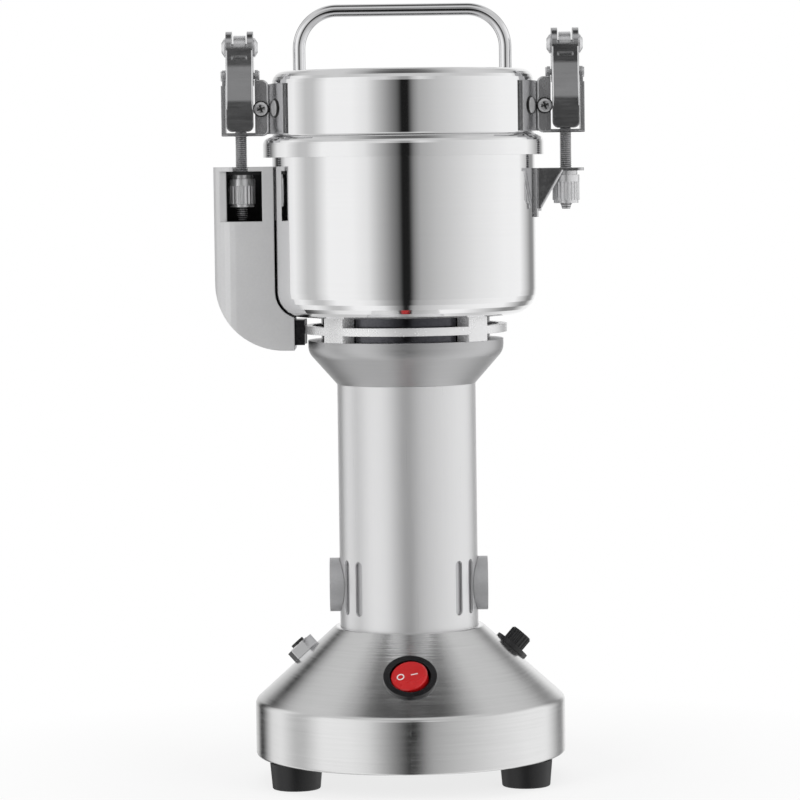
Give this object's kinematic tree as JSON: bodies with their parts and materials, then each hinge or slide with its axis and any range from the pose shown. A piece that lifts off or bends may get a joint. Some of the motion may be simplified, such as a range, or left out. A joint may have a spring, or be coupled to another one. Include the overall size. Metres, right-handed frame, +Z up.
{
  "type": "electric grain mill",
  "caption": "Upright electric grain mill: steel bowl with a latched lid and lid handle on a motor column, over a wide round base with rocker switch, reset button and fuse holder.",
  "frame": {"origin": "on the motor axis, at floor level under the feet", "axes": "+Z up along the motor axis, the rocker switch faces -Y, the side housing is at -X"},
  "size_m": [0.1845, 0.1573, 0.3863],
  "materials": {
    "base_steel": "polished",
    "black_plastic": "gloss",
    "blade_steel": "ground",
    "bowl_steel": "polished",
    "brass": "bright",
    "button_white": "satin",
    "cap_grey": "satin",
    "carbon": "matt",
    "cast": "cast",
    "chrome": "polished",
    "column_steel": "satin",
    "cone_grey": "bead blasted",
    "copper": "bright copper",
    "core": "laminated",
    "drum_dark": "gloss",
    "fan_plastic": "matt",
    "fastener": "bright",
    "foot_rubber": "matt",
    "fuse_glass": "clear",
    "gasket": "satin",
    "housing_grey": "satin",
    "latch_steel": "bright",
    "lever_steel": "polished",
    "mount_dark": "satin",
    "plate": "matt",
    "rocker_red": "gloss",
    "rod_steel": "zinc plated",
    "seal": "matt",
    "spacer": "bright",
    "winding": "varnished copper"
  },
  "bodies": {
    "mill": {"base_shell": "base_steel", "base_plate": "plate", "feet": "foot_rubber", "foot_screws": "fastener", "cord_gland": "black_plastic", "switch_housing": "black_plastic", "breaker_body": "black_plastic", "breaker_nut": "chrome", "fuse_holder": "black_plastic", "fuse_link": "fuse_glass", "column": "column_steel", "neck_ring": "cast", "lower_bracket": "cast", "bearings": "fastener", "brush_holders": "brass", "brushes": "carbon", "brush_springs": "fastener", "brush_caps": "cap_grey", "stator_core": "core", "field_coils": "winding", "motor_cone": "cone_grey", "bearing_housing": "drum_dark", "spacer_ring": "spacer", "bowl_screws": "fastener", "bowl": "bowl_steel", "bowl_seal": "seal", "lid": "bowl_steel", "lid_gasket": "gasket", "lid_handle": "chrome", "handle_screws": "fastener", "lid_brackets": "latch_steel", "latch_frames": "latch_steel", "latch_rivets": "fastener", "frame_screws": "fastener", "pivot_rivets": "fastener", "catches": "latch_steel", "side_housing": "housing_grey", "housing_screw": "fastener", "housing_mount": "mount_dark", "interlock_switch": "black_plastic"},
    "rotor": {"motor_shaft": "fastener", "armature_core": "core", "armature_windings": "winding", "commutator": "copper", "cooling_fan": "fan_plastic", "lower_blade": "blade_steel", "blade_spacer": "fastener", "upper_blade": "blade_steel", "blade_nut": "fastener"},
    "rocker": {"switch_rocker": "rocker_red"},
    "reset_key": {"reset_button": "button_white"},
    "fuse_top": {"fuse_cap": "black_plastic"},
    "left_latch": {"left_lever": "lever_steel", "left_knuckle_pin": "fastener"},
    "right_latch": {"right_lever": "lever_steel", "right_knuckle_pin": "fastener"},
    "left_draw_rod": {"left_rod": "rod_steel"},
    "right_draw_rod": {"right_rod": "rod_steel"},
    "left_tension_nut": {"left_nut": "rod_steel"},
    "right_tension_nut": {"right_nut": "rod_steel"}
  },
  "joints": [
    {"name": "motor_spin", "type": "hinge", "parent": "mill", "child": "rotor", "pos_m": [0, 0, 0.15], "axis": [0, 0, 1], "continuous": true},
    {"name": "rocker_tilt", "type": "hinge", "parent": "mill", "child": "rocker", "pos_m": [0, -0.05652, 0.05652], "axis": [0, 0.741, 0.6715], "range_deg": [0, 20]},
    {"name": "reset_press", "type": "slide", "parent": "mill", "child": "reset_key", "axis": [0.6632, -0.105, -0.741], "range_m": [0, 0.0015], "stiffness_N_per_m": 400},
    {"name": "fuse_cap_turn", "type": "hinge", "parent": "mill", "child": "fuse_top", "pos_m": [0.05069, 0.0117, 0.0633], "axis": [0.6543, 0.1511, 0.741], "range_deg": [0, 90]},
    {"name": "left_lever_swing", "type": "hinge", "parent": "mill", "child": "left_latch", "pos_m": [-0.0805, 0, 0.3515], "axis": [-1, 0, 0], "range_deg": [0, 92]},
    {"name": "left_rod_pivot", "type": "hinge", "parent": "left_latch", "child": "left_draw_rod", "pos_m": [-0.0805, -0.0008, 0.3655], "axis": [-1, 0, 0], "range_deg": [-92, 0]},
    {"name": "left_nut_turn", "type": "hinge", "parent": "left_draw_rod", "child": "left_tension_nut", "pos_m": [-0.0805, -0.0008, 0.295], "axis": [0, 0, 1], "continuous": true},
    {"name": "right_lever_swing", "type": "hinge", "parent": "mill", "child": "right_latch", "pos_m": [0.0805, 0, 0.3515], "axis": [-1, 0, 0], "range_deg": [0, 92]},
    {"name": "right_rod_pivot", "type": "hinge", "parent": "right_latch", "child": "right_draw_rod", "pos_m": [0.0805, -0.0008, 0.3655], "axis": [-1, 0, 0], "range_deg": [-92, 0]},
    {"name": "right_nut_turn", "type": "hinge", "parent": "right_draw_rod", "child": "right_tension_nut", "pos_m": [0.0805, -0.0008, 0.295], "axis": [0, 0, 1], "continuous": true}
  ],
  "couplings": [
    {"joint": "left_rod_pivot", "follows": "left_lever_swing", "ratio": -1},
    {"joint": "right_rod_pivot", "follows": "right_lever_swing", "ratio": -1}
  ]
}
